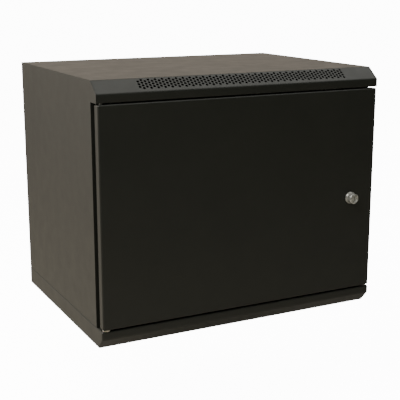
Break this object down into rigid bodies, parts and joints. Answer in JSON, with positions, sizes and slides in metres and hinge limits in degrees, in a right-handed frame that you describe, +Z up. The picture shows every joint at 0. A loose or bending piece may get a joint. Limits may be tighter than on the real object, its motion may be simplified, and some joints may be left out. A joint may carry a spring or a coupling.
{
  "type": "wall mount network cabinet",
  "caption": "Wall mount cabinet for 19 inch equipment: folded sheet box with a hinged locking door, a perforated sloping front edge and square-hole rails.",
  "frame": {"origin": "centre of the cabinet's footprint on the underside of the base", "axes": "+X across the width to the lock side, +Y from the door to the wall, +Z up"},
  "size_m": [0.6, 0.467, 0.496],
  "materials": {
    "powder_coat": "fine-textured satin black powder coat",
    "frame_coat": "fine-textured satin black powder coat",
    "zinc_plate": "bright zinc plate",
    "lock_chrome": "bright nickel plate",
    "pin_steel": "plain turned steel",
    "spring_steel": "spring wire",
    "nylon": "natural nylon",
    "rubber": "matt black rubber"
  },
  "bodies": {
    "cabinet": {"base_entry_trim": "rubber", "base_pan": "powder_coat", "base_rear_strip": "powder_coat", "door_bumpers": "rubber", "front_left_rack_rail": "zinc_plate", "front_right_rack_rail": "zinc_plate", "left_front_post": "frame_coat", "left_rear_post": "frame_coat", "left_side_panel": "powder_coat", "lower_hinge_washer": "nylon", "lower_left_depth_member": "zinc_plate", "lower_right_depth_member": "zinc_plate", "rail_bolts": "zinc_plate", "rail_nuts": "zinc_plate", "rear_entry_cover": "powder_coat", "rear_left_rack_rail": "zinc_plate", "rear_panel": "powder_coat", "rear_right_rack_rail": "zinc_plate", "right_front_post": "frame_coat", "right_rear_post": "frame_coat", "right_side_panel": "powder_coat", "roof_cover": "powder_coat", "upper_left_depth_member": "zinc_plate", "upper_right_depth_member": "zinc_plate"},
    "door": {"door_panel": "powder_coat", "left_door_stiffener": "powder_coat", "right_door_stiffener": "powder_coat", "upper_hinge_bracket": "zinc_plate", "lower_hinge_bracket": "zinc_plate", "lower_hinge_pin": "pin_steel", "upper_pin_spring": "spring_steel", "lock_body": "lock_chrome", "lock_clip": "zinc_plate"},
    "lock_core": {"lock_plug": "lock_chrome", "lock_cam": "zinc_plate"},
    "hinge_pin": {"upper_hinge_pin": "pin_steel", "upper_pin_clip": "zinc_plate"}
  },
  "joints": [
    {"name": "door_hinge", "type": "hinge", "parent": "cabinet", "child": "door", "pos_m": [-0.289, -0.218, 0.2475], "axis": [0, 0, -1], "range_deg": [0, 180]},
    {"name": "lock_turn", "type": "hinge", "parent": "door", "child": "lock_core", "pos_m": [0.24325, -0.227, 0.235], "axis": [0, -1, 0], "range_deg": [0, 90]},
    {"name": "hinge_pin_slide", "type": "slide", "parent": "door", "child": "hinge_pin", "axis": [0, 0, -1], "range_m": [0, 0.008], "stiffness_N_per_m": 600, "springref_m": -0.01, "deforming": ["upper_pin_spring"]}
  ]
}
